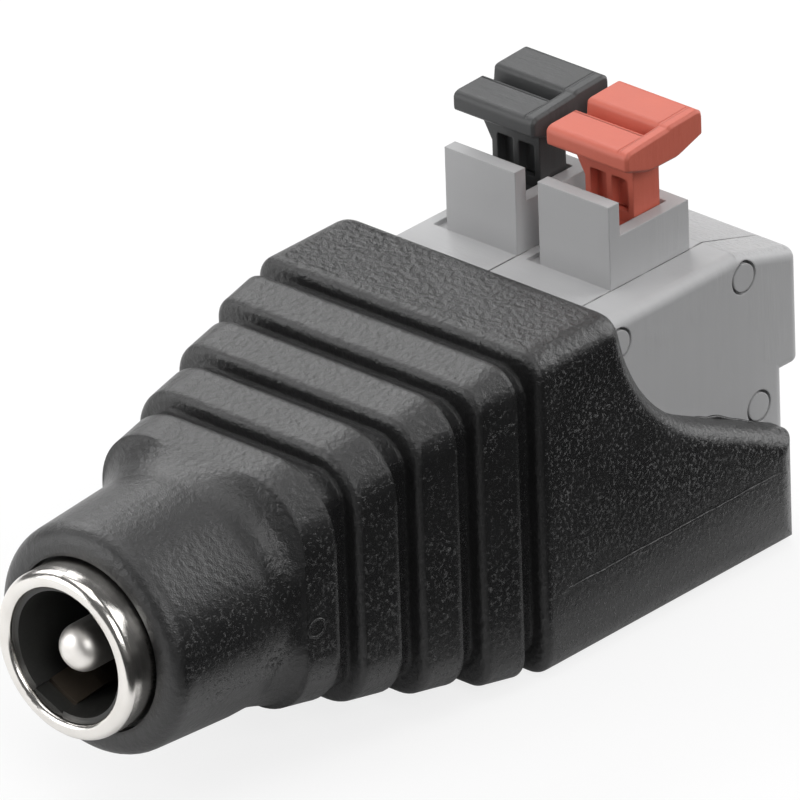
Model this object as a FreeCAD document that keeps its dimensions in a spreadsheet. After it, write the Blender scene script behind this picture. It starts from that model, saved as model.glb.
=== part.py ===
import FreeCAD, Part
import math
import os

import Sketcher
from FreeCAD import Placement, Rotation, Vector

# All sizes are in millimetres. A station is a distance back from the front of the metal ring,
# along the axis of the jack. A level is a height above that axis.
SIZES = {
    # metal ring and its tube
    "hole_diameter": 6.0,
    "ring_diameter": 7.5,
    "ring_depth": 2.2,
    "ring_round": 0.4,
    "ring_inner_round": 0.25,
    "ring_lip": 0.25,
    "tube_length": 9.6,
    # insulator, pin and leaf inside the tube
    "liner_setback": 0.4,
    "liner_wall": 0.2,
    "insulator_insert": 1.4,
    "insulator_flange": 1.0,
    "pin_diameter": 2.1,
    "pin_setback": 0.45,
    "pin_shank": 1.6,
    "pin_tail": 1.2,
    "pin_tail_length": 2.2,
    "leaf_width": 1.6,
    "leaf_thickness": 0.2,
    "leaf_setback": 1.2,
    "leaf_bow": 0.3,
    "leaf_tail_length": 2.4,
    "leaf_angle": 25.0,
    "leaf_gap": 0.06,
    "leaf_play": 0.08,
    # moulded body, front end
    "body_front": 1.5,
    "ring_gap": 0.15,
    "barrel_front_diameter": 10.15,
    "barrel_diameter": 10.75,
    "barrel_round": 0.9,
    "flare_station": 6.4,
    "shoulder_station": 8.7,
    "shoulder_width": 11.3,
    "shoulder_height": 10.7,
    "shoulder_corner": 3.6,
    # moulded body, ribs
    "first_groove": 10.3,
    "groove_width": 1.15,
    "rib_pitch": 3.1,
    "groove_depth": 0.75,
    "core_corner": 1.3,
    "rib_round": 0.35,
    # moulded body, rear end
    "section_width": 15.8,
    "section_height": 15.0,
    "section_corner": 1.2,
    "body_rise": 0.4,
    "section_round": 0.4,
    "hood_end": 26.1,
    "body_end": 36.9,
    "rim_level": -2.05,
    "rim_radius": 9.0,
    "rim_fall": 24.9,
    "rim_round": 1.0,
    "tail_corner": 1.2,
    "wire_room_front": 3.2,
    "wire_room_wall": 0.8,
    "wire_room_corner": 0.8,
    # terminal block
    "block_front": 24.2,
    "block_rear": 38.9,
    "block_bottom": -5.5,
    "block_top": 6.5,
    "crease_station": 35.1,
    "rear_top": 5.38,
    "rear_step": 1.05,
    "rear_step_level": 0.0,
    "pole_pitch": 5.2,
    "end_plate_width": 2.0,
    "end_plate_round": 0.55,
    "side_wall": 0.8,
    "roof": 1.9,
    "front_wall": 1.2,
    "rear_wall": 2.5,
    "floor_level": -0.9,
    "floor_web": 1.0,
    "under_wall": 1.1,
    "ledge_drop": 0.2,
    "block_round": 0.3,
    "ledge_left": 0.5,
    "ledge_rear_gap": 0.8,
    "guide_front_room": 1.1,
    "guide_rear_room": 0.9,
    "rear_notch": 0.5,
    "peg_diameter": 1.25,
    "peg_gap": 0.125,
    "peg_length": 1.5,
    "front_peg_station": 27.6,
    "upper_peg_level": 5.34,
    "rear_peg_station": 35.42,
    "lower_peg_station": 36.18,
    "lower_peg_level": -1.0,
    # well round the button
    "well_front": 29.35,
    "well_length": 4.95,
    "well_width": 3.93,
    "well_wall": 0.65,
    "well_left_wall": 0.45,
    "well_top": 8.8,
    "well_screen_top": 10.35,
    # wire entry
    "wire_hole": 2.6,
    "wire_level": 2.4,
    "wire_centre": 3.05,
    "funnel": 0.55,
    # clamp spring and current bar
    "bar_thickness": 0.6,
    "bar_width": 1.7,
    "bar_left": 2.65,
    "bar_front": 26.2,
    "bar_rear": 35.9,
    "bar_tail": 1.2,
    "bar_reach": 2.6,
    "spring_thickness": 0.3,
    "spring_width": 2.4,
    "spring_left": 1.85,
    "spring_front": 26.6,
    "spring_room": 0.1,
    "spring_loop": 0.65,
    "spring_tip": 29.9,
    # button
    "slide_gap": 0.08,
    "cap_width": 4.55,
    "cap_length": 4.8,
    "cap_gap": 0.33,
    "cap_front_top": 12.45,
    "cap_rear_top": 12.82,
    "cap_edge": 11.6,
    "cap_belly": 11.12,
    "valley_depth": 0.5,
    "cap_end_rib": 0.55,
    "cap_bevel": 0.12,
    "stem_setback": 2.37,
    "stem_depth": 1.62,
    "stem_flare": 0.62,
    "stem_pocket": 0.45,
    "foot_top": 8.4,
    "foot_bottom": 6.0,
    "leg_width": 0.73,
    "barb": 0.75,
    "stop_gap": 0.03,
    # link wires inside the body
    "conductor": 0.9,
    "insulation": 1.6,
    "wire_bare": 0.8,
    "wire_lead": 1.8,
    # place of the origin, at the middle of the underside
    "rest_station": 29.1,
}

GROOVES = 4

doc = FreeCAD.newDocument("BarrelJackAdapter")
sheet = doc.addObject("Spreadsheet::Sheet", "Data")
for row, (name, value) in enumerate(SIZES.items(), 1):
    sheet.set(f"A{row}", name)
    sheet.set(f"B{row}", str(value))
    sheet.setAlias(f"B{row}", name)
doc.recompute()


class Size:
    """Reads a size from the sheet by its alias."""

    def __getattr__(self, name):
        return float(sheet.get(name))


size = Size()
subparts = []


def new_body(label, shift=""):
    body = doc.addObject("PartDesign::Body", label)
    body.Label = label
    if shift:
        body.setExpression("Placement.Base.x", shift)
    body.setExpression("Placement.Base.y", "-Data.rest_station")
    body.setExpression("Placement.Base.z", "Data.section_height / 2 - Data.body_rise")
    subparts.append(body)
    return body


def new_sketch(body, role, offset="", turn=None):
    """A sketch on an origin plane, moved along the plane's normal and turned about its own X."""
    sketch = body.newObject("Sketcher::SketchObject", body.Label + "_sketch")
    plane = next(f for f in body.Origin.OriginFeatures if f.Role == role)
    sketch.AttachmentSupport = [(plane, "")]
    sketch.MapMode = "FlatFace"
    if turn is not None:
        sketch.AttachmentOffset = Placement(Vector(), Rotation(Vector(1, 0, 0), turn))
    if offset:
        sketch.setExpression("AttachmentOffset.Base.z", offset)
    return sketch


def outline(sketch, corners):
    """Closed outline of straight sides. A corner is (u, v) or (u, v, radius of its rounding)."""
    points = [Vector(c[0], c[1], 0) for c in corners]
    radii = [c[2] if len(c) > 2 else 0 for c in corners]
    ends = []
    curves = []
    for i, corner in enumerate(points):
        before = (points[i - 1] - corner).normalize()
        after = (points[(i + 1) % len(points)] - corner).normalize()
        half = before.getAngle(after) / 2
        if radii[i] == 0:
            ends.append((corner, corner, None))
            continue
        reach = radii[i] / math.tan(half)
        inward = (before + after).normalize()
        middle = corner + inward * (radii[i] / math.sin(half) - radii[i])
        start = corner + before * reach
        stop = corner + after * reach
        ends.append((start, stop, Part.Arc(start, middle, stop)))
    for i, (start, stop, arc) in enumerate(ends):
        if arc is not None:
            curves.append(arc)
        following = ends[(i + 1) % len(ends)][0]
        if stop.distanceToPoint(following) > 1e-6:
            curves.append(Part.LineSegment(stop, following))
    sketch.addGeometry(curves, False)


def rounded_box(sketch, halves, corner, centre=0.0):
    """Rounded rectangle from its half width and half height, centred at a level."""
    wide, tall = halves
    rectangle(sketch, -wide, wide, centre - tall, centre + tall, corner)


def rectangle(sketch, left, right, low, high, corner=0):
    outline(
        sketch,
        [(left, low, corner), (right, low, corner), (right, high, corner), (left, high, corner)],
    )


def circle(sketch, diameter, u=0.0, v=0.0):
    """Circle whose diameter is an expression on the sheet."""
    index = sketch.addGeometry(Part.Circle(Vector(u, v, 0), Vector(0, 0, 1), 1.0), False)
    number = sketch.addConstraint(Sketcher.Constraint("Diameter", index, 2.0))
    sketch.setExpression(f"Constraints[{number}]", diameter)
    return index


def extrude(body, kind, sketch, length, backwards=False):
    """Pad or Pocket of a sketch over a length given as an expression."""
    feature = body.newObject(f"PartDesign::{kind}", f"{body.Label}_{kind.lower()}")
    feature.Profile = sketch
    feature.Reversed = backwards
    feature.setExpression("Length", length)
    sketch.Visibility = False
    return feature


def cut_through(body, sketch):
    """Pocket through the whole body, both ways from the sketch."""
    feature = body.newObject("PartDesign::Pocket", f"{body.Label}_cut")
    feature.Profile = sketch
    feature.Type = 1
    feature.SideType = "Symmetric"
    return feature


def revolve(body, kind, sketch, axis):
    feature = body.newObject(f"PartDesign::{kind}", f"{body.Label}_{kind.lower()}")
    feature.Profile = sketch
    feature.ReferenceAxis = (sketch, [axis])
    feature.Angle = 360
    return feature


def loft(body, kind, first, others):
    feature = body.newObject(f"PartDesign::{kind}", f"{body.Label}_loft")
    feature.Profile = first
    feature.Sections = others
    return feature


def round_edges(body, radius, wanted):
    """Fillet on the edges of the body's last feature for which wanted(edge) is true."""
    doc.recompute()
    base = body.Tip
    names = [f"Edge{i}" for i, edge in enumerate(base.Shape.Edges, 1) if wanted(edge)]
    feature = body.newObject("PartDesign::Fillet", f"{body.Label}_rounding")
    feature.Base = (base, names)
    feature.setExpression("Radius", radius)
    doc.recompute()
    return feature


def bevel_edges(body, width, wanted):
    """Chamfer on the edges of the body's last feature for which wanted(edge) is true."""
    doc.recompute()
    base = body.Tip
    names = [f"Edge{i}" for i, edge in enumerate(base.Shape.Edges, 1) if wanted(edge)]
    feature = body.newObject("PartDesign::Chamfer", f"{body.Label}_bevel")
    feature.Base = (base, names)
    feature.setExpression("Size", width)
    doc.recompute()
    return feature


def near(value, target, margin=0.01):
    return abs(value - target) < margin


def lies_at(edge, axis, target):
    """True for an edge all of whose points have the given coordinate."""
    box = edge.BoundBox
    ends = {"x": (box.XMin, box.XMax), "y": (box.YMin, box.YMax), "z": (box.ZMin, box.ZMax)}
    return all(near(end, target) for end in ends[axis])


def taper_share(station):
    """How far a station lies along the taper, from 0 at the shoulder to 1 at the hood."""
    start = size.shoulder_station
    return (station - start) / (hood_front() - start)


def half_section(station, inset=0.0):
    """Half width and half height of the tapered outline at a station."""
    share = taper_share(station)
    wide = size.shoulder_width + share * (size.section_width - size.shoulder_width)
    tall = size.shoulder_height + share * (size.section_height - size.shoulder_height)
    return wide / 2 - inset, tall / 2 - inset


def section_corner_at(station):
    return size.shoulder_corner + taper_share(station) * (size.section_corner - size.shoulder_corner)


def hood_front():
    """Station where the last groove ends and the square hood begins."""
    return size.first_groove + (GROOVES - 1) * size.rib_pitch + size.groove_width


def make_jack_tube():
    """Turned metal tube with the bright ring at its front."""
    body = new_body("jack_tube")
    sketch = new_sketch(body, "YZ_Plane")
    hole = size.hole_diameter / 2
    ring = size.ring_diameter / 2
    tube = tube_diameter() / 2
    wall = ring - hole
    inner_round = min(size.ring_inner_round, 0.35 * wall)
    outer_round = min(size.ring_round, 0.55 * wall)
    outline(
        sketch,
        [
            (0, hole, inner_round),
            (size.tube_length, hole),
            (size.tube_length, tube),
            (size.ring_depth, tube),
            (size.ring_depth, ring),
            (0, ring, outer_round),
        ],
    )
    revolve(body, "Revolution", sketch, "H_Axis")


def tube_diameter():
    return size.ring_diameter - 2 * size.ring_lip


def liner_bore():
    return size.hole_diameter - 2 * size.liner_wall


def leaf_level():
    """Distance from the axis to the outer face of the flat leaf lying in the round tube."""
    hole = size.hole_diameter / 2
    return math.sqrt(hole**2 - (size.leaf_width / 2) ** 2) - size.leaf_gap


def insulator_front():
    return size.tube_length - size.insulator_insert


def insulator_rear():
    return size.tube_length + size.insulator_flange


def make_insulator():
    """Plastic cup that lines the tube and carries the pin, with a slot for the leaf."""
    body = new_body("pin_insulator")
    sketch = new_sketch(body, "YZ_Plane")
    outline(
        sketch,
        [
            (insulator_front(), size.pin_shank / 2),
            (insulator_rear(), size.pin_shank / 2),
            (insulator_rear(), tube_diameter() / 2),
            (size.tube_length, tube_diameter() / 2),
            (size.tube_length, size.hole_diameter / 2),
            (size.liner_setback, size.hole_diameter / 2),
            (size.liner_setback, liner_bore() / 2),
            (insulator_front(), liner_bore() / 2),
        ],
    )
    revolve(body, "Revolution", sketch, "H_Axis")
    slot = new_sketch(body, "XZ_Plane")
    slot.AttachmentOffset = Placement(Vector(), Rotation(Vector(0, 0, 1), -size.leaf_angle))
    low = -leaf_level()
    half = size.leaf_width / 2
    rectangle(slot, -half, half, low, low + size.leaf_thickness + size.leaf_play)
    cut_through(body, slot)


def make_centre_pin():
    """Contact pin with a domed tip, a shank through the insulator and a tail for its wire."""
    body = new_body("centre_pin")
    sketch = new_sketch(body, "YZ_Plane")
    radius = size.pin_diameter / 2
    tail = insulator_rear() + size.pin_tail_length
    outline(
        sketch,
        [
            (size.pin_setback, 0),
            (tail, 0),
            (tail, size.pin_tail / 2),
            (insulator_rear(), size.pin_tail / 2),
            (insulator_rear(), size.pin_shank / 2),
            (insulator_front(), size.pin_shank / 2),
            (insulator_front(), radius),
            (size.pin_setback, radius, radius * 0.8),
        ],
    )
    revolve(body, "Revolution", sketch, "H_Axis")


def make_contact_leaf():
    """Flat spring along the inside of the tube, bowed in to touch the plug, with a rear tail."""
    body = new_body("contact_leaf")
    outer = -leaf_level()
    inner = outer + size.leaf_thickness
    start = size.leaf_setback
    bow = size.leaf_bow
    ramp = 5 * bow
    tail = insulator_rear() + size.leaf_tail_length
    sketch = new_sketch(body, "YZ_Plane")
    bends = [
        (start, 0),
        (start + ramp, bow),
        (start + ramp * 1.4, bow),
        (start + ramp * 2.4, 0),
        (tail, 0),
    ]
    lower = [(y, outer + rise) for y, rise in bends]
    upper = [(y, inner + rise) for y, rise in reversed(bends)]
    outline(sketch, lower + upper)
    feature = extrude(body, "Pad", sketch, "Data.leaf_width")
    feature.SideType = "Symmetric"
    body.Placement.Rotation = Rotation(Vector(0, 1, 0), size.leaf_angle)


def make_moulded_body():
    """Black moulded body: barrel, four grooves in a taper, square hood and open cradle."""
    body = new_body("ribbed_body")
    barrel = new_sketch(body, "YZ_Plane")
    front = size.barrel_front_diameter / 2
    rear = size.barrel_diameter / 2
    outline(
        barrel,
        [
            (size.body_front, 0),
            (size.shoulder_station, 0),
            (size.shoulder_station, rear),
            (size.flare_station, rear),
            (size.body_front, front, size.barrel_round),
        ],
    )
    revolve(body, "Revolution", barrel, "H_Axis")

    rise = size.body_rise
    flare = new_sketch(body, "XZ_Plane", "-Data.flare_station")
    rounded_box(flare, (rear * 0.985, rear * 0.985), rear * 0.96, 0)
    mid = new_sketch(body, "XZ_Plane", "-(Data.flare_station + 2 * Data.shoulder_station) / 3")
    rounded_box(mid, (rear, rear), rear * 0.9, rise * 0.4)
    front_halves = half_section(size.shoulder_station)
    shoulder = new_sketch(body, "XZ_Plane", "-Data.shoulder_station")
    rounded_box(shoulder, front_halves, size.shoulder_corner, rise)
    loft(body, "AdditiveLoft", flare, [mid, shoulder])

    make_ribs(body)
    hood = new_sketch(body, "XZ_Plane", "-Data.body_end")
    rounded_box(hood, half_section(hood_front()), size.section_corner, rise)
    groove_end = f"Data.first_groove + {GROOVES - 1} * Data.rib_pitch + Data.groove_width"
    extrude(body, "Pad", hood, f"Data.body_end - ({groove_end})")
    round_edges(body, "Data.section_round", lambda e: lies_at(e, "y", hood_front()) and is_rim(e))

    bore = new_sketch(body, "XZ_Plane", "-Data.ring_depth")
    circle(bore, "Data.ring_diameter - 2 * Data.ring_lip")
    extrude(body, "Pocket", bore, "Data.tube_length + Data.insulator_flange - Data.ring_depth")
    mouth = new_sketch(body, "XZ_Plane", "-Data.body_front")
    circle(mouth, "Data.ring_diameter + 2 * Data.ring_gap")
    extrude(body, "Pocket", mouth, "Data.ring_depth - Data.body_front")

    near_end = new_sketch(body, "XZ_Plane")
    near_end.AttachmentOffset = Placement(Vector(0, 0, -insulator_rear()), Rotation())
    rounded_box(near_end, (size.wire_room_front, size.wire_room_front), size.wire_room_corner)
    far_end = new_sketch(body, "XZ_Plane", "-Data.block_front")
    lip = size.wire_room_wall
    side = block_half_width() - lip
    rectangle(
        far_end, -side, side, size.block_bottom + lip, size.block_top - lip, size.wire_room_corner
    )
    loft(body, "SubtractiveLoft", near_end, [far_end])

    seat = new_sketch(body, "XZ_Plane", "-Data.block_front")
    side = block_half_width()
    rectangle(seat, -side, side, size.block_bottom, size.block_top)
    extrude(body, "Pocket", seat, "Data.body_end - Data.block_front + 1")

    make_cradle_rim(body)
    trim = new_sketch(body, "XY_Plane")
    for side in (-1, 1):
        trim_corner(trim, side)
    cut_through(body, trim)


def is_rim(edge):
    """True for an edge of the outer outline, and not of the core between the ribs."""
    box = edge.BoundBox
    rise = size.body_rise
    wide, tall = half_section(box.YMin, size.groove_depth * 0.8)
    reach_x = max(abs(box.XMin), abs(box.XMax))
    reach_z = max(abs(box.ZMin - rise), abs(box.ZMax - rise))
    return reach_x > wide or reach_z > tall


def make_ribs(body):
    """Tapered ribs, each on a core that is lower by the depth of the grooves."""
    pitch = "Data.rib_pitch"
    slope = "(Data.section_width - Data.shoulder_width) / 2"
    run = f"(Data.first_groove + {GROOVES - 1} * {pitch} + Data.groove_width - Data.shoulder_station)"
    for number in range(GROOVES):
        rear = size.first_groove + number * size.rib_pitch
        rib = new_sketch(body, "XZ_Plane", f"-Data.first_groove - {number} * {pitch}")
        rounded_box(rib, half_section(rear), section_corner_at(rear), size.body_rise)
        length = "Data.first_groove - Data.shoulder_station"
        if number:
            length = f"{pitch} - Data.groove_width"
        pad = extrude(body, "Pad", rib, length)
        pad.setExpression("TaperAngle", f"-atan({slope} / {run})")
        core = new_sketch(
            body, "XZ_Plane", f"-Data.first_groove - {number} * {pitch} - Data.groove_width"
        )
        middle = rear + size.groove_width / 2
        rounded_box(core, half_section(middle, size.groove_depth), size.core_corner, size.body_rise)
        extrude(body, "Pad", core, "Data.groove_width")
    fronts = [size.first_groove + n * size.rib_pitch + size.groove_width for n in range(GROOVES - 1)]
    round_edges(
        body,
        "Data.rib_round",
        lambda e: any(lies_at(e, "y", front) for front in fronts) and is_rim(e),
    )


def trim_corner(sketch, side):
    """Outline of what a rounded rear corner takes off the body, on one side (-1 or 1)."""
    half = size.section_width / 2
    radius = size.tail_corner
    start = Vector(side * half, size.body_end - radius, 0)
    stop = Vector(side * (half - radius), size.body_end, 0)
    middle = Vector(stop.x, start.y, 0) + Vector(side, 1, 0).normalize() * radius
    out = Vector(side, 0, 0)
    back = Vector(0, 1, 0)
    corner = Vector(start.x, stop.y, 0) + out + back
    path = [stop, stop + back, corner, start + out, start]
    sketch.addGeometry([Part.Arc(start, middle, stop)], False)
    sketch.addGeometry([Part.LineSegment(a, b) for a, b in zip(path, path[1:])], False)


def block_half_width():
    return size.pole_pitch + size.end_plate_width / 2


def make_cradle_rim(body):
    """Cut the hood away behind its end: each side wall falls in a hollow arc, then straight."""
    rim = new_sketch(body, "YZ_Plane")
    top = size.body_rise + size.section_height / 2
    start = Vector(size.hood_end, top, 0)
    stop = Vector(size.body_end, size.rim_level, 0)
    fall = math.radians(size.rim_fall)
    along = Vector(math.cos(fall), -math.sin(fall), 0)
    outward = Vector(math.sin(fall), math.cos(fall), 0)
    radius = size.rim_radius
    above_stop = stop + outward * radius - start
    ahead = above_stop.dot(along)
    back = ahead - math.sqrt(ahead**2 - above_stop.Length**2 + radius**2)
    meeting = stop - along * back
    centre = meeting + outward * radius
    halfway = ((start - centre) + (meeting - centre)).normalize() * radius + centre
    corner = Vector(stop.x + 1, top + 1, 0)
    path = [meeting, stop, stop + Vector(1, 0, 0), corner, start + Vector(0, 1, 0), start]
    rim.addGeometry([Part.Arc(start, halfway, meeting)], False)
    rim.addGeometry([Part.LineSegment(a, b) for a, b in zip(path, path[1:])], False)
    cut_through(body, rim)
    half = half_section(hood_front())[0]

    def along_rim(edge):
        box = edge.BoundBox
        flat = lies_at(edge, "x", half) or lies_at(edge, "x", -half)
        return flat and box.YLength > 3 and box.ZLength > 3

    roof = "Data.section_height / 2 + Data.body_rise - Data.block_top"
    round_edges(body, f"min(Data.rim_round; {roof})", along_rim)


def block_profile(rounding):
    """Side outline of the terminal block, shared by its modules and its end plate."""
    lower_rear = size.block_rear - size.rear_step
    return [
        (size.block_front, size.block_bottom, rounding),
        (lower_rear, size.block_bottom, rounding),
        (lower_rear, size.rear_step_level),
        (size.block_rear, size.rear_step_level, rounding),
        (size.block_rear, size.rear_top, 2 * rounding),
        (size.crease_station, size.block_top, 2 * rounding),
        (size.block_front, size.block_top, rounding),
    ]


def pegs():
    return [
        (size.front_peg_station, size.upper_peg_level),
        (size.rear_peg_station, size.upper_peg_level),
        (size.lower_peg_station, size.lower_peg_level),
    ]


def make_terminal_module(label, shift, peg_length):
    """Grey moulding for one pole, open on its right side, with three pegs on that side."""
    body = new_body(label, shift)
    side = new_sketch(body, "YZ_Plane")
    outline(side, block_profile(size.block_round))
    extrude(body, "Pad", side, "Data.pole_pitch")

    pitch = size.pole_pitch
    well_left = pitch - size.well_width
    well_rear = size.well_front + size.well_length
    screen_rear = size.well_front + size.well_wall
    well = new_sketch(body, "XY_Plane", "Data.block_top - Data.roof / 2")
    rectangle(well, well_left, pitch, size.well_front, well_rear)
    extrude(body, "Pad", well, "Data.well_top - Data.block_top + Data.roof / 2")
    screen = new_sketch(body, "XY_Plane", "Data.well_top - Data.roof / 2")
    rectangle(screen, well_left, pitch, size.well_front, screen_rear)
    extrude(body, "Pad", screen, "Data.well_screen_top - Data.well_top + Data.roof / 2")

    step = new_sketch(body, "XY_Plane", "Data.block_top")
    step_rear = size.crease_station - size.ledge_rear_gap
    rectangle(step, size.ledge_left, well_left, size.well_front, step_rear)
    extrude(body, "Pocket", step, "Data.ledge_drop")

    channel = new_sketch(body, "XY_Plane", "Data.well_top + 0.01")
    left, right, front, rear = well_channel()
    rectangle(channel, left, right, front, rear)
    extrude(body, "Pocket", channel, "Data.well_top - Data.block_top + Data.roof + 0.01")

    chamber = new_sketch(body, "YZ_Plane", "Data.pole_pitch")
    ceiling = size.block_top - size.roof
    bar_top = bar_level() + size.bar_thickness
    front_wall = size.block_front + size.front_wall
    rear_wall = size.block_rear - size.rear_wall
    step_back = chamber_step()
    outline(
        chamber,
        [
            (front_wall, size.floor_level),
            (step_back, size.floor_level),
            (step_back, size.rear_step_level + size.rear_notch),
            (rear_wall, size.rear_step_level + size.rear_notch),
            (rear_wall, bar_top),
            (rear + size.guide_rear_room, bar_top),
            (rear + size.guide_rear_room, ceiling),
            (front - size.guide_front_room, ceiling),
            (front - size.guide_front_room, bar_top),
            (front_wall, bar_top),
        ],
    )
    extrude(body, "Pocket", chamber, "Data.pole_pitch - Data.side_wall")

    under = new_sketch(body, "YZ_Plane", "Data.pole_pitch")
    wall = size.under_wall
    rectangle(
        under,
        size.block_front + wall,
        step_back,
        size.block_bottom + wall,
        size.floor_level - size.floor_web,
        0.3,
    )
    extrude(body, "Pocket", under, "Data.pole_pitch - Data.side_wall")

    slot = new_sketch(body, "XZ_Plane", "-Data.block_front + 1")
    middle = size.bar_left + size.bar_width / 2
    half = size.bar_tail / 2
    rectangle(slot, middle - half, middle + half, bar_level(), bar_level() + size.bar_thickness)
    extrude(body, "Pocket", slot, "Data.front_wall + 1.5")

    entry = new_sketch(body, "XZ_Plane", "-Data.block_rear")
    circle(entry, "Data.wire_hole", size.wire_centre, size.wire_level)
    drilled = extrude(body, "Pocket", entry, "Data.rear_wall + 0.2", True)
    doc.recompute()
    bevel = body.newObject("PartDesign::Chamfer", label + "_funnel")
    mouths = [
        f"Edge{i}"
        for i, e in enumerate(drilled.Shape.Edges, 1)
        if e.Curve.TypeId == "Part::GeomCircle" and lies_at(e, "y", size.block_rear)
    ]
    bevel.Base = (drilled, mouths)
    bevel.setExpression("Size", "Data.funnel")

    for station, level in pegs():
        socket = new_sketch(body, "YZ_Plane")
        circle(socket, "Data.peg_diameter + 2 * Data.peg_gap", station, level)
        extrude(body, "Pocket", socket, "Data.peg_length + Data.peg_gap", True)
        peg = new_sketch(body, "YZ_Plane", "Data.pole_pitch")
        circle(peg, "Data.peg_diameter", station, level)
        extrude(body, "Pad", peg, peg_length)


def chamber_step():
    """Station of the step in the chamber's rear wall, in front of the lower peg."""
    return size.lower_peg_station - size.peg_diameter


def bar_level():
    """Underside of the current bar, just above the wire hole."""
    return size.wire_level + size.wire_hole / 2


def well_channel():
    wall = size.well_wall
    left = size.pole_pitch - size.well_width + size.well_left_wall
    right = size.pole_pitch - wall
    front = size.well_front + wall
    rear = size.well_front + size.well_length - wall
    return left, right, front, rear


def make_end_plate():
    """Grey plate that closes the last module, held on its three pegs."""
    body = new_body("end_plate", "Data.pole_pitch - Data.end_plate_width / 2")
    side = new_sketch(body, "YZ_Plane")
    outline(side, block_profile(size.block_round))
    extrude(body, "Pad", side, "Data.end_plate_width")
    top = size.block_top
    round_edges(
        body,
        "Data.end_plate_round",
        lambda e: lies_at(e, "x", size.end_plate_width)
        and e.BoundBox.ZMin > size.rear_top - size.end_plate_round
    )
    for station, level in pegs():
        hole = new_sketch(body, "YZ_Plane")
        circle(hole, "Data.peg_diameter + 2 * Data.peg_gap", station, level)
        extrude(body, "Pocket", hole, "Data.end_plate_width", True)


def make_current_bar(label, shift):
    """Tinned strip above the wire, with a narrow tail out through the block's front."""
    body = new_body(label, shift)
    plan = new_sketch(body, "XY_Plane")
    left = size.bar_left
    right = left + size.bar_width
    middle = (left + right) / 2
    half = size.bar_tail / 2
    tip = size.block_front - size.bar_reach
    outline(
        plan,
        [
            (middle - half, tip, 0.2),
            (middle + half, tip, 0.2),
            (middle + half, size.bar_front),
            (right, size.bar_front, 0.2),
            (right, size.bar_rear, 0.3),
            (left, size.bar_rear, 0.3),
            (left, size.bar_front, 0.2),
            (middle - half, size.bar_front),
        ],
    )
    plan.AttachmentOffset = Placement(Vector(0, 0, bar_level()), Rotation())
    extrude(body, "Pad", plan, "Data.bar_thickness")


def make_clamp_spring(label, shift):
    """Bent strip: flat foot on the chamber floor, a loop at the rear, and a leg up to the bar."""
    body = new_body(label, shift)
    sketch = new_sketch(body, "YZ_Plane")
    thick = size.spring_thickness
    foot = size.floor_level
    radius = size.spring_loop
    rear = chamber_step() - size.spring_room
    centre = Vector(rear - radius - thick / 2, foot + thick / 2 + radius, 0)
    tip = Vector(size.spring_tip, bar_level() - thick / 2, 0)
    span = tip - centre
    lean = math.atan2(span.y, -span.x) - math.asin(radius / span.Length)
    along = Vector(-math.cos(lean), math.sin(lean), 0)
    normal = Vector(math.sin(lean), math.cos(lean), 0)
    inner = radius - thick / 2
    outer = radius + thick / 2
    reach = math.sqrt(span.Length**2 - radius**2)
    low = Vector(0, -1, 0)
    back = Vector(1, 0, 0)
    inner_end = centre + normal * inner
    outer_end = centre + normal * outer
    front = Vector(size.spring_front, 0, 0)
    foot_low = Vector(front.x, foot, 0)
    foot_high = Vector(front.x, foot + thick, 0)
    curves = [
        Part.LineSegment(foot_low, centre + low * outer),
        Part.Arc(centre + low * outer, centre + back * outer, outer_end),
        Part.LineSegment(outer_end, outer_end + along * reach),
        Part.LineSegment(outer_end + along * reach, inner_end + along * reach),
        Part.LineSegment(inner_end + along * reach, inner_end),
        Part.Arc(inner_end, centre + back * inner, centre + low * inner),
        Part.LineSegment(centre + low * inner, foot_high),
        Part.LineSegment(foot_high, foot_low),
    ]
    sketch.addGeometry(curves, False)
    sketch.setExpression("AttachmentOffset.Base.z", "Data.spring_left")
    extrude(body, "Pad", sketch, "Data.spring_width")


def stem_stations():
    front = size.well_front + size.stem_setback
    return front, front + size.stem_depth


def spring_top(station):
    """Level of the upper face of the spring's leg at a station."""
    thick = size.spring_thickness
    radius = size.spring_loop
    centre_y = chamber_step() - size.spring_room - radius - thick / 2
    centre_z = size.floor_level + thick / 2 + radius
    run = centre_y - size.spring_tip
    climb = bar_level() - thick / 2 - centre_z
    lean = math.atan2(climb, run) - math.asin(radius / math.hypot(run, climb))
    outer = radius + thick / 2
    start_y = centre_y + math.sin(lean) * outer
    start_z = centre_z + math.cos(lean) * outer
    return start_z + (start_y - station) * math.tan(lean)


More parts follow.
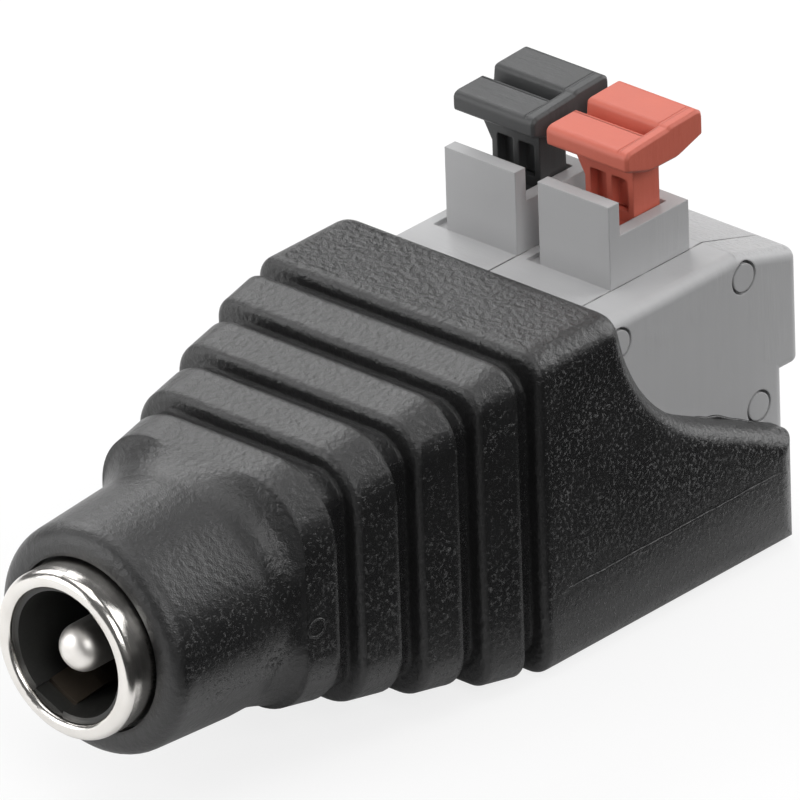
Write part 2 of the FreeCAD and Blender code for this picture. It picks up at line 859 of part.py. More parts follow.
def make_button(label, shift):
    """T-shaped press button: ribbed cap, stem, guide foot, and a leg with a barb under the roof."""
    body = new_body(label, shift)
    left, right, front, rear = well_channel()
    gap = size.slide_gap
    middle = (left + right) / 2
    cap_left = middle - size.cap_width / 2
    cap_front = size.well_front + size.well_wall + size.cap_gap
    cap_rear = cap_front + size.cap_length
    split = cap_front + size.cap_length * 0.46
    valley = size.cap_front_top - size.valley_depth

    def cap_outline(sketch, with_valley):
        top = [(cap_rear, size.cap_edge, 0.2), (cap_rear, size.cap_rear_top, 0.35)]
        if with_valley:
            top += [
                (split + 0.4, size.cap_rear_top - 0.1, 0.25),
                (split + 0.3, valley, 0.1),
                (split - 0.15, valley, 0.1),
                (split - 0.25, size.cap_front_top + 0.05, 0.25),
            ]
        top += [(cap_front, size.cap_front_top, 0.35), (cap_front, size.cap_edge, 0.2)]
        bottom = [(cap_front + size.cap_length * 0.3, size.cap_belly, 1.0)]
        bottom += [(cap_front + size.cap_length * 0.68, size.cap_belly, 1.0)]
        outline(sketch, top + bottom)

    pads = new_sketch(body, "YZ_Plane")
    cap_outline(pads, True)
    pads.AttachmentOffset = Placement(Vector(0, 0, cap_left), Rotation())
    extrude(body, "Pad", pads, "Data.cap_width")
    rib = new_sketch(body, "YZ_Plane")
    cap_outline(rib, False)
    rib_left = cap_left + size.cap_width - size.cap_end_rib
    rib.AttachmentOffset = Placement(Vector(0, 0, rib_left), Rotation())
    extrude(body, "Pad", rib, "Data.cap_end_rib")
    bevel_edges(
        body,
        "Data.cap_bevel",
        lambda e: (lies_at(e, "x", cap_left) or lies_at(e, "x", cap_left + size.cap_width))
        and e.BoundBox.ZMax > size.cap_edge,
    )

    stem_front, stem_rear = stem_stations()
    stem = new_sketch(body, "XZ_Plane")
    stem.AttachmentOffset = Placement(Vector(0, 0, -stem_rear), Rotation())
    narrow = left + gap
    wide = narrow - size.stem_flare
    outline(
        stem,
        [
            (narrow, size.foot_bottom),
            (right - gap, size.foot_bottom),
            (right - gap, size.cap_belly + 0.3),
            (wide, size.cap_belly + 0.3),
            (wide, size.cap_belly - 0.1),
            (narrow, size.cap_belly - 1.2),
        ],
    )
    extrude(body, "Pad", stem, "Data.stem_depth")

    web = new_sketch(body, "XZ_Plane")
    web.AttachmentOffset = Placement(Vector(0, 0, -stem_front), Rotation())
    third = (right - gap - narrow) / 3
    for start in (narrow + 0.3, narrow + 1.5 * third + 0.15):
        stop = start + 1.5 * third - 0.45
        rectangle(web, start, stop, size.foot_top + 0.5, size.cap_belly - 0.75, 0.1)
    extrude(body, "Pocket", web, "Data.stem_pocket")

    foot = new_sketch(body, "XY_Plane", "Data.foot_bottom")
    rectangle(foot, left + gap, right - gap, front + gap, rear - gap)
    extrude(body, "Pad", foot, "Data.foot_top - Data.foot_bottom")

    leg = new_sketch(body, "YZ_Plane")
    ceiling = size.block_top - size.roof
    low = spring_top(stem_front) + size.stop_gap
    outline(
        leg,
        [
            (stem_front, low),
            (stem_front + 0.5, low),
            (stem_rear, low + 0.6),
            (stem_rear, ceiling - 0.65),
            (stem_rear + size.barb, ceiling - size.stop_gap - 0.25),
            (stem_rear + size.barb, ceiling - size.stop_gap),
            (stem_rear, ceiling - size.stop_gap),
            (stem_rear, size.foot_bottom + 0.2),
            (stem_front, size.foot_bottom + 0.2),
        ],
    )
    leg.AttachmentOffset = Placement(Vector(0, 0, left + gap), Rotation())
    extrude(body, "Pad", leg, "Data.leg_width")


def bar_tail_point(shift):
    """Centre of the tail's end face of the current bar of the pole at a shift."""
    across = shift + size.bar_left + size.bar_width / 2
    return across, size.block_front - size.bar_reach, bar_level() + size.bar_thickness / 2


def wire_path(sketch, run, rise, lead):
    """Straight lead, a slanting run and a straight lead again."""
    points = [Vector(), Vector(lead, 0, 0), Vector(run - lead, rise, 0), Vector(run, rise, 0)]
    sketch.addGeometry([Part.LineSegment(a, b) for a, b in zip(points, points[1:])], False)


def make_pipe(body, start, stop, lead, diameter, bore=""):
    """Round wire, or a tube with a bore, along the bent path from one point to another."""
    sideways = stop[0] - start[0]
    upward = stop[2] - start[2]
    turn = math.degrees(math.atan2(sideways, upward))
    spine = new_sketch(body, "YZ_Plane", turn=turn)
    wire_path(spine, stop[1] - start[1], math.hypot(sideways, upward), lead)
    spine.AttachmentOffset = Placement(
        Vector(start[1], start[2], start[0]), Rotation(Vector(1, 0, 0), turn)
    )
    profile = new_sketch(body, "XZ_Plane")
    profile.AttachmentOffset = Placement(Vector(0, 0, -start[1]), Rotation())
    circle(profile, diameter, start[0], start[2])
    if bore:
        circle(profile, bore, start[0], start[2])
    pipe = body.newObject("PartDesign::AdditivePipe", body.Label + "_pipe")
    pipe.Profile = profile
    pipe.Spine = (spine, [])
    pipe.Transition = "Right corner"


def make_link_wire(colour, start, stop):
    """Copper core from a contact's tail to a bar's tail, with its insulation stripped at both ends."""
    lead = size.wire_lead
    make_pipe(new_body(f"{colour}_wire_core"), start, stop, lead, "Data.conductor")
    bare = size.wire_bare
    start = (start[0], start[1] + bare, start[2])
    stop = (stop[0], stop[1] - bare, stop[2])
    jacket = new_body(f"{colour}_wire_jacket")
    make_pipe(jacket, start, stop, lead - bare, "Data.insulation", "Data.conductor")


def check_and_export():
    doc.recompute()
    broken = [o.Label for o in doc.Objects if "Invalid" in o.State or "Error" in o.State]
    if broken:
        raise RuntimeError(f"failed objects: {broken}")
    os.makedirs("parts", exist_ok=True)
    for body in subparts:
        shape = body.Shape
        if shape.isNull() or not shape.isValid() or len(shape.Solids) != 1:
            raise RuntimeError(f"{body.Label}: {len(shape.Solids)} solids, valid {shape.isValid()}")
    for body in subparts:
        body.Shape.exportStep(f"parts/{body.Label}.step")
        box = body.Shape.BoundBox
        print(
            f"{body.Label}: {body.Shape.Volume:.2f} mm3,"
            f" {box.XLength:.2f} x {box.YLength:.2f} x {box.ZLength:.2f}"
        )


def leaf_tail_point():
    """Centre of the rear end face of the turned leaf."""
    turn = math.radians(size.leaf_angle)
    reach = leaf_level() - size.leaf_thickness / 2
    rear = insulator_rear() + size.leaf_tail_length
    return -reach * math.sin(turn), rear, -reach * math.cos(turn)


def make_everything():
    make_moulded_body()
    make_jack_tube()
    make_insulator()
    make_centre_pin()
    make_contact_leaf()
    left = "-Data.pole_pitch - Data.end_plate_width / 2"
    right = "-Data.end_plate_width / 2"
    make_terminal_module("terminal_left", left, "Data.peg_length")
    make_terminal_module("terminal_right", right, "Data.end_plate_width")
    for side, shift in (("left", left), ("right", right)):
        make_current_bar(f"current_bar_{side}", shift)
        make_clamp_spring(f"clamp_spring_{side}", shift)
    make_button("black_button", left)
    make_button("red_button", right)
    make_end_plate()
    half_plate = size.end_plate_width / 2
    pin_tail = (0, insulator_rear() + size.pin_tail_length, 0)
    make_link_wire("red", pin_tail, bar_tail_point(-half_plate))
    make_link_wire("black", leaf_tail_point(), bar_tail_point(-size.pole_pitch - half_plate))


make_everything()
check_and_export()
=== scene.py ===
import math

import bmesh
import bpy
from mathutils import Matrix, Vector


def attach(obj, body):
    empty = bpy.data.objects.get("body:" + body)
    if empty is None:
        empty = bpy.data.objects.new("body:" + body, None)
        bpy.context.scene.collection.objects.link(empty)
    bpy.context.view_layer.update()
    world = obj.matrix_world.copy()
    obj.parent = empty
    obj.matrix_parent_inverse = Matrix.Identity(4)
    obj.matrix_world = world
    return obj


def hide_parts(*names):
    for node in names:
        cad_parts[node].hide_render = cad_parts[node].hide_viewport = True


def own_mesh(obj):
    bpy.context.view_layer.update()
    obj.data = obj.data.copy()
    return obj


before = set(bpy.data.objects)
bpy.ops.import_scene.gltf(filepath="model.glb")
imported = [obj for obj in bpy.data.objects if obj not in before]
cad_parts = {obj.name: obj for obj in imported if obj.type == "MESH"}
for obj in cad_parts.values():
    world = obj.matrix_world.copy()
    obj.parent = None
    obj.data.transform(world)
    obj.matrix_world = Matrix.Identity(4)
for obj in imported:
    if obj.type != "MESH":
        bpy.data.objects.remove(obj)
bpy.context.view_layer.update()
print("stage: frame loaded")


# A socket with arithmetic, so that shader maths reads as plain formulas.
class Term:
    def __init__(self, tree, socket):
        self.tree = tree
        self.socket = socket

    def maths(self, operation, *others):
        places = ("Value", "Value_001")
        inputs = dict(zip(places, (self, *others)))
        return addNode(self.tree, "ShaderNodeMath", {"operation": operation}, inputs)

    def __add__(self, other):
        return self.maths("ADD", other)

    def __sub__(self, other):
        return self.maths("SUBTRACT", other)

    def __mul__(self, other):
        return self.maths("MULTIPLY", other)

    def __neg__(self):
        return self.maths("MULTIPLY", -1.0)

    def __rsub__(self, other):
        return -self + other

    __radd__ = __add__
    __rmul__ = __mul__

    def absolute(self):
        return self.maths("ABSOLUTE")

    def smooth(self, low, high):
        # 0 below low, 1 above high, with an even rise between them
        return addNode(
            self.tree,
            "ShaderNodeMapRange",
            {"interpolation_type": "SMOOTHSTEP"},
            {"Value": self, "From Min": low, "From Max": high},
        )


def plug(tree, socket, value):
    if isinstance(value, Term):
        tree.links.new(value.socket, socket)
    elif socket.type == "RGBA":
        socket.default_value = (*value, 1.0)
    else:
        socket.default_value = value


def addNode(tree, kind, settings, inputs, output=""):
    # settings come first, because they decide which sockets a node has
    made = tree.nodes.new(kind)
    for name, value in settings.items():
        setattr(made, name, value)
    for name, value in inputs.items():
        socket = next(s for s in made.inputs if s.enabled and name in (s.identifier, s.name))
        plug(tree, socket, value)
    given = [s for s in made.outputs if s.enabled and output in ("", s.identifier, s.name)]
    return Term(tree, given[0]) if given else None


# One material: its nodes, its surface shader and its bump.
class Finish:
    def __init__(self, name):
        self.material = bpy.data.materials.new(name)
        self.material.use_nodes = True
        self.tree = self.material.node_tree
        self.tree.nodes.clear()
        place = self.make("ShaderNodeTexCoord", {}, {}, "Object")
        self.millimetres = self.make(
            "ShaderNodeVectorMath", {"operation": "SCALE"}, {"Vector": place, "Scale": 1000.0}
        )

    def make(self, kind, settings, inputs, output=""):
        return addNode(self.tree, kind, settings, inputs, output)

    def axis(self, name):
        return self.make("ShaderNodeSeparateXYZ", {}, {"Vector": self.millimetres}, name)

    def facing(self, name):
        # how far the surface, without its bump, faces along an axis
        normal = self.make("ShaderNodeNewGeometry", {}, {}, "Normal")
        return self.make("ShaderNodeSeparateXYZ", {}, {"Vector": normal}, name)

    def softEdge(self, radius):
        # a normal that turns evenly round sharp edges, over a radius in millimetres
        return self.make("ShaderNodeBevel", {"samples": 4}, {"Radius": radius / 1000.0})

    def scaled(self, factors):
        inputs = {"Vector": self.millimetres, "Vector_001": factors}
        return self.make("ShaderNodeVectorMath", {"operation": "MULTIPLY"}, inputs)

    def noise(self, scale, detail=2.0, roughness=0.5, vector=None):
        inputs = {
            "Vector": vector or self.millimetres,
            "Scale": scale,
            "Detail": detail,
            "Roughness": roughness,
        }
        return self.make("ShaderNodeTexNoise", {}, inputs, "Fac")

    def cells(self, scale, feature="F1"):
        inputs = {"Vector": self.millimetres, "Scale": scale}
        return self.make("ShaderNodeTexVoronoi", {"feature": feature}, inputs, "Distance")

    def mixed(self, factor, first, second):
        inputs = {"Factor_Float": factor, "A_Color": first, "B_Color": second}
        return self.make("ShaderNodeMix", {"data_type": "RGBA"}, inputs)

    def bump(self, height, under=None):
        # height is in millimetres
        inputs = {"Height": height, "Distance": 0.001, "Strength": 1.0}
        if under:
            inputs["Normal"] = under
        return self.make("ShaderNodeBump", {}, inputs)

    def finish(self, inputs):
        shader = self.make("ShaderNodeBsdfPrincipled", {}, inputs)
        self.make("ShaderNodeOutputMaterial", {}, {"Surface": shader})
        return self.material


mouldedBody = {
    "dark": (0.009, 0.009, 0.0092),
    "light": (0.018, 0.018, 0.0184),
    "grainSize": 3.8,
    "grainHeight": 0.096,
    "hoodGrain": 0.16,  # how much stronger the grain is on the hood than on the ribs
    "ribGrain": 0.34,
    "roundGrain": 0.34,
    "sideGrain": 0.08,
    "speckSize": 5.2,
    "speckHeight": 0.044,
    "fineHeight": 0.022,
    "roughness": 0.34,
    "specular": 0.62,
    "hoodFront": -8.35,
    "barrelEnd": (-22.5, -20.0),
    "footLevel": (0.4, 3.2),
    "edge": 0.3,
}


def makeMouldedBody(name, values):
    look = Finish(name)
    y = look.axis("Y")
    z = look.axis("Z")
    warp = look.noise(1.1, 2.0, 0.5)
    grain = look.cells(values["grainSize"], "SMOOTH_F1")
    wrinkle = look.noise(values["grainSize"] * 1.35, 3.0, 0.62)
    fine = look.noise(values["grainSize"] * 4.2, 2.0, 0.6)
    broad = look.noise(0.35, 2.0)
    # tops, sides and roundings of the mould are grained in their own ways
    top = look.facing("Z").absolute().smooth(0.8, 0.96)
    flank = look.facing("X").absolute().smooth(0.8, 0.96)
    bend = 1.0 - top - flank
    hood = y.smooth(values["hoodFront"] - 0.4, values["hoodFront"] + 0.2)
    ribbed = y.smooth(*values["barrelEnd"])
    coarse = top * (hood * values["hoodGrain"] + values["ribGrain"])
    coarse = coarse + bend * values["roundGrain"] + flank * values["sideGrain"]
    coarse = coarse * (warp * 0.6 + 0.7) * (ribbed * 0.3 + 0.7)
    relief = grain * values["grainHeight"] + wrinkle * (values["grainHeight"] * 1.1)
    # the sides carry fine scattered points that thicken in places and towards the foot
    speck = look.noise(values["speckSize"], 3.0, 0.7).smooth(0.52, 0.8)
    low, high = values["footLevel"]
    foot = (-z).smooth(-high, -low)
    thick = look.noise(0.5, 2.0).smooth(0.3, 0.75) * 0.5 + foot * 0.6 + 0.45
    points = speck * flank * thick * values["speckHeight"]
    height = relief * coarse + points + fine * values["fineHeight"] * (1.0 - flank * 0.7)
    roughness = broad * 0.1 + fine * 0.1 - flank * 0.07 + (values["roughness"] - 0.1)
    return look.finish(
        {
            "Base Color": look.mixed((broad + fine) * 0.5, values["dark"], values["light"]),
            "Roughness": roughness,
            "Specular IOR Level": values["specular"],
            "Normal": look.bump(height, look.softEdge(values["edge"])),
        }
    )


plated = {
    "colour": (0.86, 0.84, 0.81),
    "smudge": (0.72, 0.69, 0.65),
    "roughness": 0.13,
    "turning": 14.0,
    "turningHeight": 0.0012,
    "level": 7.1,
}
platedPin = {
    "colour": (0.95, 0.93, 0.9),
    "smudge": (0.72, 0.69, 0.65),
    "roughness": 0.36,
    "turning": 9.0,
    "turningHeight": 0.002,
    "level": 7.1,
}


def makePlated(name, values):
    # fine rings from the lathe, round the axis of the jack
    look = Finish(name)
    x = look.axis("X")
    y = look.axis("Y")
    z = look.axis("Z") - values["level"]
    radius = (x * x + z * z).maths("SQRT")
    turning = ((radius + y) * values["turning"]).maths("SINE")
    smudge = look.noise(0.9, 3.0)
    scratches = look.noise(6.0, 2.0, 0.7, look.scaled((1.0, 6.0, 1.0)))
    return look.finish(
        {
            "Base Color": look.mixed(smudge, values["colour"], values["smudge"]),
            "Metallic": 1.0,
            "Roughness": smudge * 0.08 + scratches * 0.06 + values["roughness"],
            "Normal": look.bump(turning * values["turningHeight"] + scratches * 0.002),
        }
    )


greyPlastic = {
    "light": (0.455, 0.455, 0.46),
    "dark": (0.395, 0.395, 0.4),
    "gap": (0.06, 0.06, 0.06),
    "roughness": 0.42,
    "grain": 0.003,
    "joints": (-1.0, 4.2),
    "jointWidth": 0.055,
    "jointDepth": 0.08,
    "jointTop": (14.2, 14.6),
    "crease": 6.0,
    "edge": 0.09,
}


def makeGreyPlastic(values):
    look = Finish("grey_plastic")
    x = look.axis("X")
    y = look.axis("Y")
    z = look.axis("Z")
    clouds = look.noise(0.25, 2.0)
    flow = look.noise(1.3, 3.0, 0.55, look.scaled((0.25, 1.6, 0.12)))
    fine = look.noise(14.0, 2.0)
    tone = clouds * 0.55 + flow * 0.45
    # the modules meet in thin open joints, which show on top of the block
    width = values["jointWidth"]
    low, high = values["jointTop"]
    gaps = [(-(x - at).absolute()).smooth(-width, -width * 0.3) for at in values["joints"]]
    below = (-z).smooth(-high, -low)
    broken = look.noise(0.7, 2.0).smooth(0.3, 0.6)
    joint = sum(gaps) * look.facing("Z").smooth(0.7, 0.95) * below * broken
    # the sloped top behind the crease is left rough by the mould
    behind = y.smooth(values["crease"] - 0.1, values["crease"] + 0.1)
    slope = behind * look.facing("Z").smooth(0.5, 0.9)
    pits = look.cells(4.2) * 0.05 + look.noise(5.0, 3.0, 0.7) * 0.06
    streaks = look.noise(2.4, 3.0, 0.6, look.scaled((1.0, 1.7, 0.16)))
    patchy = look.noise(0.45, 2.0).smooth(0.5, 0.68)
    height = fine * values["grain"] + flow * 0.005 + streaks * patchy * 0.02
    height = height + pits * slope - joint * values["jointDepth"]
    base = look.mixed(tone, values["dark"], values["light"])
    return look.finish(
        {
            "Base Color": look.mixed(joint * 0.75, base, values["gap"]),
            "Roughness": flow * 0.1 + fine * 0.06 + values["roughness"] - 0.04,
            "Specular IOR Level": 0.3,
            "Normal": look.bump(height, look.softEdge(values["edge"])),
        }
    )


redCap = {
    "light": (0.6, 0.15, 0.1),
    "dark": (0.5, 0.11, 0.075),
    "roughness": 0.5,
    "ribLine": 3.86,
    "padFront": 3.0,
    "padCrease": 4.1,
    "edge": 0.12,
}
blackCap = {
    "light": (0.06, 0.061, 0.062),
    "dark": (0.04, 0.041, 0.042),
    "roughness": 0.46,
    "ribLine": -1.34,
    "padFront": 3.0,
    "padCrease": 4.1,
    "edge": 0.12,
}


def makeCap(name, values):
    look = Finish(name)
    x = look.axis("X")
    y = look.axis("Y")
    clouds = look.noise(0.6, 3.0)
    fine = look.noise(11.0, 2.0)
    drag = look.noise(2.2, 2.0, 0.5, look.scaled((0.4, 2.0, 0.3)))
    up = look.facing("Z").smooth(0.6, 0.9)
    # a fine groove parts the end rib from the pads, and the rear pad has a low crease
    groove = (-(x - values["ribLine"]).absolute()).smooth(-0.11, -0.02) * up
    inner = (-x).smooth(-values["ribLine"], 0.1 - values["ribLine"])
    pad = y.smooth(values["padFront"] - 0.1, values["padFront"])
    fall = (values["padCrease"] - y).maths("MAXIMUM", 0.0) * pad * up * inner
    height = fine * 0.004 + drag * 0.012 + clouds * 0.02 - groove * 0.05 - fall * 0.16
    return look.finish(
        {
            "Base Color": look.mixed(clouds * 0.7 + fine * 0.3, values["dark"], values["light"]),
            "Roughness": clouds * 0.1 + fine * 0.08 + values["roughness"] - 0.09,
            "Specular IOR Level": 0.38,
            "Normal": look.bump(height, look.softEdge(values["edge"])),
        }
    )


liner = {
    "light": (0.034, 0.034, 0.032),
    "dark": (0.02, 0.02, 0.019),
    "roughness": 0.3,
    "rings": 9.0,
}


def makeLiner(values):
    look = Finish("black_liner")
    rings = (look.axis("Y") * values["rings"]).maths("SINE")
    fine = look.noise(9.0, 2.0)
    return look.finish(
        {
            "Base Color": look.mixed(fine, values["dark"], values["light"]),
            "Roughness": fine * 0.15 + values["roughness"],
            "Normal": look.bump(fine * 0.004 + rings * 0.002),
        }
    )


bronze = {"colour": (0.2, 0.165, 0.13), "stain": (0.14, 0.115, 0.09), "roughness": 0.32}
tinned = {"colour": (0.78, 0.78, 0.76), "stain": (0.6, 0.6, 0.6), "roughness": 0.3}
steel = {"colour": (0.66, 0.67, 0.68), "stain": (0.52, 0.53, 0.55), "roughness": 0.24}


def makeStrip(name, values):
    # rolled metal strip, with fine lines along its length
    look = Finish(name)
    lines = look.noise(9.0, 2.0, 0.6, look.scaled((6.0, 0.3, 3.0)))
    clouds = look.noise(0.8, 3.0)
    return look.finish(
        {
            "Base Color": look.mixed(clouds, values["colour"], values["stain"]),
            "Metallic": 1.0,
            "Roughness": lines * 0.15 + clouds * 0.1 + values["roughness"],
            "Normal": look.bump(lines * 0.004),
        }
    )


strands = {
    "colour": (0.86, 0.45, 0.29),
    "stain": (0.7, 0.33, 0.2),
    "roughness": 0.2,
    "strandHeight": 0.04,
}


def makeStranded(values):
    # bare copper strands twisted round the wire's run
    look = Finish("copper_strands")
    x = look.axis("X")
    y = look.axis("Y")
    z = look.axis("Z")
    twist = ((x + z) * 5.0 + y * 9.0).maths("SINE").absolute()
    clouds = look.noise(1.5, 2.0)
    return look.finish(
        {
            "Base Color": look.mixed(clouds, values["colour"], values["stain"]),
            "Metallic": 1.0,
            "Roughness": clouds * 0.15 + values["roughness"],
            "Normal": look.bump(twist * values["strandHeight"]),
        }
    )


redSleeve = {"light": (0.5, 0.03, 0.02), "dark": (0.4, 0.02, 0.015), "roughness": 0.32}
blackSleeve = {"light": (0.03, 0.03, 0.03), "dark": (0.02, 0.02, 0.02), "roughness": 0.32}


def makeSleeve(name, values):
    look = Finish(name)
    clouds = look.noise(0.9, 2.0)
    fine = look.noise(8.0, 2.0)
    return look.finish(
        {
            "Base Color": look.mixed(clouds, values["dark"], values["light"]),
            "Roughness": fine * 0.12 + values["roughness"],
            "Normal": look.bump(fine * 0.005 + clouds * 0.02),
        }
    )


greyMoulding = makeGreyPlastic(greyPlastic)
tinnedBar = makeStrip("tinned_bar", tinned)
springStrip = makeStrip("spring_strip", steel)
copperStrands = makeStranded(strands)
finishes = {
    "ribbed_body": makeMouldedBody("moulded_body", mouldedBody),
    "jack_tube": makePlated("plated_ring", plated),
    "centre_pin": makePlated("plated_pin", platedPin),
    "pin_insulator": makeLiner(liner),
    "contact_leaf": makeStrip("bronze_leaf", bronze),
    "terminal_left": greyMoulding,
    "terminal_right": greyMoulding,
    "end_plate": greyMoulding,
    "current_bar_left": tinnedBar,
    "current_bar_right": tinnedBar,
    "clamp_spring_left": springStrip,
    "clamp_spring_right": springStrip,
    "black_button": makeCap("black_cap", blackCap),
    "red_button": makeCap("red_cap", redCap),
    "red_wire_core": copperStrands,
    "black_wire_core": copperStrands,
    "red_wire_jacket": makeSleeve("red_sleeve", redSleeve),
    "black_wire_jacket": makeSleeve("black_sleeve", blackSleeve),
}
for node, material in finishes.items():
    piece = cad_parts[node]
    piece.data.materials.clear()
    piece.data.materials.append(material)
print("stage: finishes made")


# Each clamp spring is shown as a copy of its own, carried with the adapter, and the CAD part is
# hidden.
clampSprings = {
    "clamp_spring_left": "black_button_press",
    "clamp_spring_right": "red_button_press",
}


def makeBendingSpring(node):
    piece = bpy.data.objects.new(node + "_bending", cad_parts[node].data.copy())
    bpy.context.scene.collection.objects.link(piece)
    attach(piece, "adapter")
    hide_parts(node)
    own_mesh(piece)


for node, joint in clampSprings.items():
    makeBendingSpring(node)
print("stage: clamp springs made")


# Small marks of the mould that stand proud of the black body, in millimetres. Their edges
# are rounded far less than the body's, or they would be smoothed away.
flash = mouldedBody | {"edge": 0.02}
flashBlack = makeMouldedBody("moulding_flash", flash)
partingLine = {
    "side": 7.9,
    "front": -7.3,
    "rear": 6.5,
    "level": 3.8,
    "height": 0.075,
    "halfWidth": 0.065,
    "steps": 140,
}
gateMark = {
    "centre": (5.735, -19.93, 6.6),
    "lean": 10.6,
    "radius": 0.4,
    "thickness": 0.07,
    "around": 40,
    "tube": 10,
}
flashLip = {
    "face": 6.2,
    "front": 3.0,
    "rear": 6.7,
    "thickness": 0.07,
    "lip": 0.06,
    "wave": 0.1,
    "root": 0.12,
    "rimEnd": 7.8,
    "rimLevel": 5.05,
    "rimSlope": 0.464,
    "steps": 90,
}


def makeMark(name, points, faces):
    mesh = bpy.data.meshes.new(name)
    mesh.from_pydata([Vector(point) / 1000 for point in points], [], faces)
    build = bmesh.new()
    build.from_mesh(mesh)
    bmesh.ops.recalc_face_normals(build, faces=build.faces)
    build.to_mesh(mesh)
    build.free()
    mesh.shade_smooth()
    mesh.materials.append(flashBlack)
    piece = bpy.data.objects.new(name, mesh)
    bpy.context.scene.collection.objects.link(piece)
    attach(piece, "adapter")


def stripFaces(steps):
    # faces of a bar whose sections have four corners each, with both ends closed
    faces = []
    for step in range(steps):
        for corner in range(4):
            a, b = step * 4 + corner, step * 4 + (corner + 1) % 4
            faces.append((a, b, b + 4, a + 4))
    last = steps * 4
    return faces + [(0, 1, 2, 3), (last + 3, last + 2, last + 1, last)]


def makePartingLine(values, sign, name):
    # a low ridge along the side, a little uneven and thin at its ends
    half, side = values["halfWidth"], values["side"]
    points = []
    for step in range(values["steps"] + 1):
        share = step / values["steps"]
        y = values["front"] + share * (values["rear"] - values["front"])
        level = values["level"] + 0.012 * math.sin(1.7 * y) + 0.008 * math.sin(4.3 * y + 1.0)
        ends = min(1.0, 12 * share, 12 * (1 - share))
        crest = side + values["height"] * ends * (0.85 + 0.15 * math.sin(6.1 * y))
        section = ((-half, side - 0.02), (0.0, crest), (half, side - 0.02), (0.0, side - 0.06))
        points += [(sign * x, y, level + z) for z, x in section]
    makeMark(name, points, stripFaces(values["steps"]))


def makeGateMark(values):
    # the raised ring that the cut-off gate leaves on the first rib
    lean = math.radians(values["lean"])
    out = Vector((math.cos(lean), -math.sin(lean), 0.0))
    across = Vector((math.sin(lean), math.cos(lean), 0.0))
    up = Vector((0.0, 0.0, 1.0))
    thickness, around, tube = values["thickness"], values["around"], values["tube"]
    points, faces = [], []
    for turn in range(around):
        angle = 2 * math.pi * turn / around
        outward = across * math.cos(angle) + up * math.sin(angle)
        wide = values["radius"] * (1 + 0.06 * math.sin(2 * angle + 0.5))
        for part in range(tube):
            bend = 2 * math.pi * part / tube
            shift = outward * (wide + thickness * math.cos(bend))
            points.append(Vector(values["centre"]) + shift + out * thickness * math.sin(bend))
            a, b = turn * tube + part, turn * tube + (part + 1) % tube
            ahead = ((turn + 1) % around - turn) * tube
            faces.append((a, b, b + ahead, a + ahead))
    makeMark("gate_mark", points, faces)


def makeFlashLip(values):
    # thin flash of the black moulding that crept up on the grey plate
    face, thickness, root = values["face"], values["thickness"], values["root"]
    points = []
    for step in range(values["steps"] + 1):
        share = step / values["steps"]
        y = values["front"] + share * (values["rear"] - values["front"])
        rim = values["rimLevel"] + values["rimSlope"] * (values["rimEnd"] - y)
        wave = max(0.0, math.sin(1.9 * y - 0.9)) + 0.2 * math.sin(4.7 * y)
        ends = min(1.0, 8 * share, 8 * (1 - share))
        tall = (values["lip"] + values["wave"] * wave) * ends
        section = (
            (face, -root),
            (face + thickness * 1.6, -root),
            (face + thickness, tall * 0.6),
            (face, tall),
        )
        points += [(x, y, rim + z) for x, z in section]
    makeMark("flash_lip", points, stripFaces(values["steps"]))


makePartingLine(partingLine, 1, "parting_line_right")
makePartingLine(partingLine, -1, "parting_line_left")
makeGateMark(gateMark)
makeFlashLip(flashLip)
print("stage: moulding marks made")


surroundings = {
    "floorSize": 1.4,
    "floorTone": 0.86,
    # the tone and the edges, in millimetres, of painted shade on the floor to the right, seen
    # only in reflections
    "paintedShadeTone": 0.02,
    "whiteShare": 0.8,
    "paintedShadeEdge": (10.1, 13.1),
    "worldTone": 0.1,
}


def makeFloor(values):
    half = values["floorSize"] / 2
    corners = [(-half, -half, 0), (half, -half, 0), (half, half, 0), (-half, half, 0)]
    mesh = bpy.data.meshes.new("floor")
    mesh.from_pydata(corners, [], [(0, 1, 2, 3)])
    floor = bpy.data.objects.new("floor", mesh)
    bpy.context.scene.collection.objects.link(floor)
    look = Finish("white_floor")
    tone, dark = values["floorTone"], values["paintedShadeTone"]
    paper = look.mixed(look.noise(0.01, 2.0), (tone,) * 3, (tone * 0.97,) * 3)
    seen = look.make("ShaderNodeLightPath", {}, {}, "Is Camera Ray")
    # painted shade: a dark patch is painted on the floor to the right, hidden from the camera,
    # and darkens what the right side mirrors
    paintedShade = look.axis("X").smooth(*values["paintedShadeEdge"]) * (1.0 - seen)
    base = look.mixed(paintedShade, paper, (dark,) * 3)
    # the camera sees a white floor that still keeps the soft shadow
    cloth = look.make("ShaderNodeBsdfDiffuse", {}, {"Color": base})
    bright = look.make("ShaderNodeEmission", {}, {"Color": (1.0, 1.0, 1.0), "Strength": 1.0})
    shares = {"Fac": seen * values["whiteShare"], "Shader": cloth, "Shader_001": bright}
    both = look.make("ShaderNodeMixShader", {}, shares)
    look.make("ShaderNodeOutputMaterial", {}, {"Surface": both})
    mesh.materials.append(look.material)


def makeWorld(values):
    world = bpy.data.worlds.new("studio")
    world.use_nodes = True
    bpy.context.scene.world = world
    tree = world.node_tree
    tree.nodes.clear()
    # white for the camera, dim for the light on the part
    dim = addNode(tree, "ShaderNodeBackground", {}, {"Color": (values["worldTone"],) * 3})
    white = addNode(tree, "ShaderNodeBackground", {}, {"Color": (1.0, 1.0, 1.0)})
    seen = addNode(tree, "ShaderNodeLightPath", {}, {}, "Is Camera Ray")
    shares = {"Fac": seen, "Shader": dim, "Shader_001": white}
    both = addNode(tree, "ShaderNodeMixShader", {}, shares)
    addNode(tree, "ShaderNodeOutputWorld", {}, {"Surface": both})


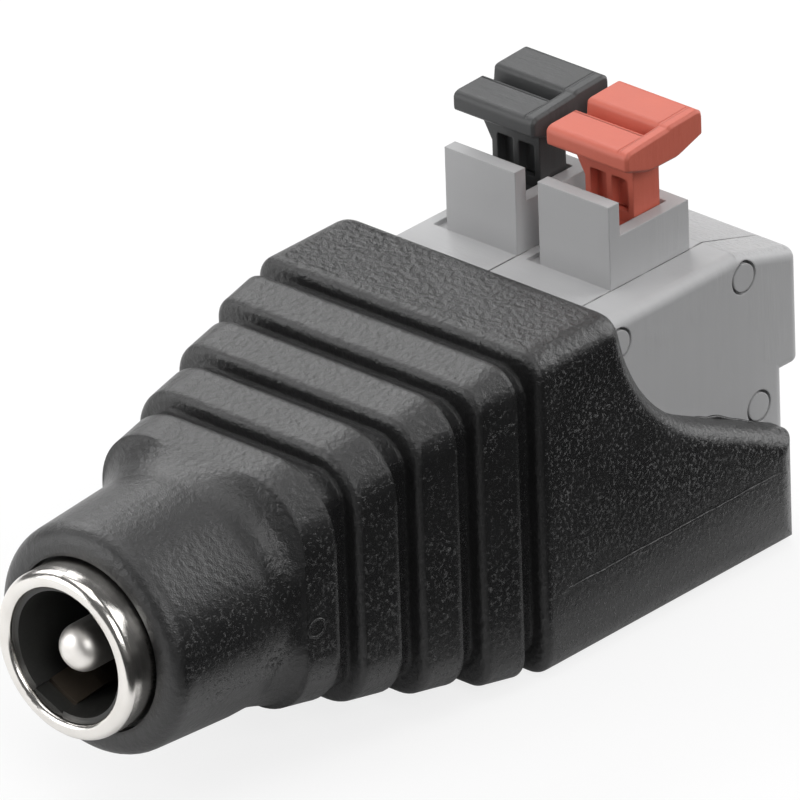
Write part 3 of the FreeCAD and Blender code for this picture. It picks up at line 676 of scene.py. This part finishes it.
lamps = {
    "overhead": {"place": (-0.02, -0.03, 0.46), "size": (0.34, 0.34), "watts": 0.85},
    "leftTop": {"place": (-0.44, 0.17, 0.37), "size": (0.53, 0.34), "watts": 2.15},
    "rightRear": {"place": (0.2, 0.54, 0.28), "size": (0.5, 0.42), "watts": 2.8},
    "leftFront": {"place": (-0.33, -0.44, 0.2), "size": (0.35, 0.35), "watts": 1.6},
    "rightFront": {"place": (0.46, -0.22, 0.34), "size": (0.3, 0.3), "watts": 1.6},
}
aimPoint = (0.0, 0.0, 0.008)


def makeLamp(name, values):
    light = bpy.data.lights.new(name, "AREA")
    light.shape = "RECTANGLE"
    light.size, light.size_y = values["size"]
    light.energy = values["watts"]
    lamp = bpy.data.objects.new(name, light)
    lamp.location = values["place"]
    aim = Vector(aimPoint) - Vector(values["place"])
    lamp.rotation_euler = aim.to_track_quat("-Z", "Y").to_euler()
    bpy.context.scene.collection.objects.link(lamp)


makeFloor(surroundings)
makeWorld(surroundings)
for name, values in lamps.items():
    makeLamp(name, values)
bpy.context.scene.view_settings.view_transform = "Standard"
print("stage: studio made")


eye = {
    "azimuth": 42.93,
    "elevation": 27.2,
    "roll": -1.92,
    "focal": 20000.0,  # in pixels of the picture
    "scale": 24.483,  # pixels to a millimetre at the ring
    "picture": 800,
    "sensor": 36.0,
    "ringAt": (61.53, 657.96),
    "ringPlace": (0.0, -29.1, 7.1),
    "clip": (0.02, 10.0),
}


def makeCamera(values):
    # the ring's front centre falls on the pixel ringAt
    turn, lift = math.radians(values["azimuth"]), math.radians(values["elevation"])
    level = math.cos(lift)
    back = Vector((math.sin(turn) * level, -math.cos(turn) * level, math.sin(lift)))
    right = Vector((0, 0, 1)).cross(back).normalized()
    upward = back.cross(right)
    roll = math.radians(values["roll"])
    side = right * math.cos(roll) + upward * math.sin(roll)
    top = upward * math.cos(roll) - right * math.sin(roll)
    across, down = (pixel - values["picture"] / 2 for pixel in values["ringAt"])
    fromEye = side * across - top * down - back * values["focal"]
    place = Vector(values["ringPlace"]) - fromEye / values["scale"]
    data = bpy.data.cameras.new("camera")
    data.sensor_width = values["sensor"]
    data.lens = values["focal"] / values["picture"] * values["sensor"]
    data.clip_start, data.clip_end = values["clip"]
    camera = bpy.data.objects.new("camera", data)
    turned = Matrix((side, top, back)).transposed().to_4x4()
    camera.matrix_world = Matrix.Translation(place / 1000) @ turned
    bpy.context.scene.collection.objects.link(camera)
    bpy.context.scene.camera = camera


makeCamera(eye)
print("stage: camera made")
